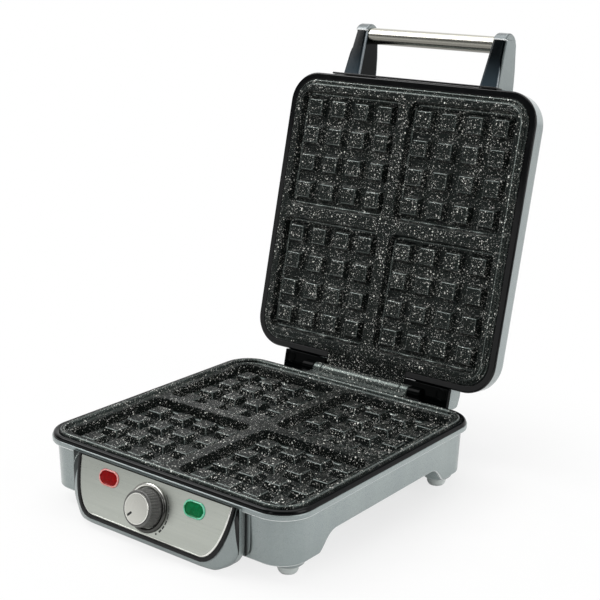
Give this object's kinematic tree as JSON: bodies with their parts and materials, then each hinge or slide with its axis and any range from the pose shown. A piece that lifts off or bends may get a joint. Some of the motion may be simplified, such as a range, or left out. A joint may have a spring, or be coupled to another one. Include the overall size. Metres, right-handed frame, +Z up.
{
  "type": "waffle maker",
  "caption": "Countertop waffle maker with a speckled non-stick plate in its base, another in a hinged lid, a bar handle and a browning knob.",
  "frame": {"origin": "middle of the whole part's bounding box with the lid open, on the surface it stands on", "axes": "+Z up, +Y from the control panel towards the hinge, +X towards the right-hand side seen from the front"},
  "size_m": [0.28, 0.4354, 0.3992],
  "materials": {
    "silver_plastic": "glossy silver paint",
    "black_plastic": "polished black",
    "coated_aluminium": "black non-stick coating with pale specks",
    "brushed_steel": "brushed",
    "element_sheath": "heat-darkened",
    "reflector_sheet": "bright sheet",
    "rubber": "grey, matt",
    "dull_plastic": "dark grey, fine grain",
    "knob_plastic": "satin grey",
    "red_lens": "clear red",
    "green_lens": "clear green",
    "plated_steel": "zinc plated"
  },
  "bodies": {
    "base": {"control_frame": "black_plastic", "faceplate": "brushed_steel", "red_lens": "red_lens", "green_lens": "green_lens", "red_lamp": "dull_plastic", "green_lamp": "dull_plastic", "thermostat_bracket": "plated_steel", "thermostat_body": "plated_steel", "dial_ring": "brushed_steel", "lower_housing": "silver_plastic", "lower_bezel": "black_plastic", "lower_plate": "coated_aluminium", "lower_element": "element_sheath", "lower_reflector": "reflector_sheet", "bottom_cover": "dull_plastic", "terminal_block": "dull_plastic", "cord_gland": "dull_plastic", "lower_plate_screw_1": "plated_steel", "lower_plate_screw_2": "plated_steel", "lower_plate_screw_3": "plated_steel", "lower_plate_screw_4": "plated_steel", "foot_front_left": "rubber", "cover_screw_front_left": "plated_steel", "foot_front_right": "rubber", "cover_screw_front_right": "plated_steel", "foot_rear_left": "rubber", "cover_screw_rear_left": "plated_steel", "foot_rear_right": "rubber", "cover_screw_rear_right": "plated_steel", "control_cover": "silver_plastic", "control_screw_left": "plated_steel", "side_trim_left": "black_plastic", "control_screw_right": "plated_steel", "side_trim_right": "black_plastic"},
    "lid": {"lid_shell": "silver_plastic", "lid_frame": "black_plastic", "upper_plate": "coated_aluminium", "upper_element": "element_sheath", "upper_reflector": "reflector_sheet", "handle_rail": "black_plastic", "handle_grip": "brushed_steel", "thermal_fuse": "plated_steel", "upper_plate_screw_1": "plated_steel", "upper_plate_screw_2": "plated_steel", "upper_plate_screw_3": "plated_steel", "upper_plate_screw_4": "plated_steel", "hinge_liner_left": "black_plastic", "hinge_pin_left": "plated_steel", "handle_arm_left": "black_plastic", "handle_arm_cover_left": "silver_plastic", "arm_screw_left": "plated_steel", "hinge_liner_right": "black_plastic", "hinge_pin_right": "plated_steel", "handle_arm_right": "black_plastic", "handle_arm_cover_right": "silver_plastic", "arm_screw_right": "plated_steel"},
    "knob": {"thermostat_shaft": "plated_steel", "knob": "knob_plastic", "knob_cap": "brushed_steel"}
  },
  "joints": [
    {"name": "lid_hinge", "type": "hinge", "parent": "base", "child": "lid", "pos_m": [0, 0.1016, 0.06343], "axis": [1, 0, 0], "range_deg": [0, 102.5]},
    {"name": "browning_knob", "type": "hinge", "parent": "base", "child": "knob", "pos_m": [0, -0.2, 0.03368], "axis": [0, 0.9578, -0.2874], "range_deg": [0, 250]}
  ]
}
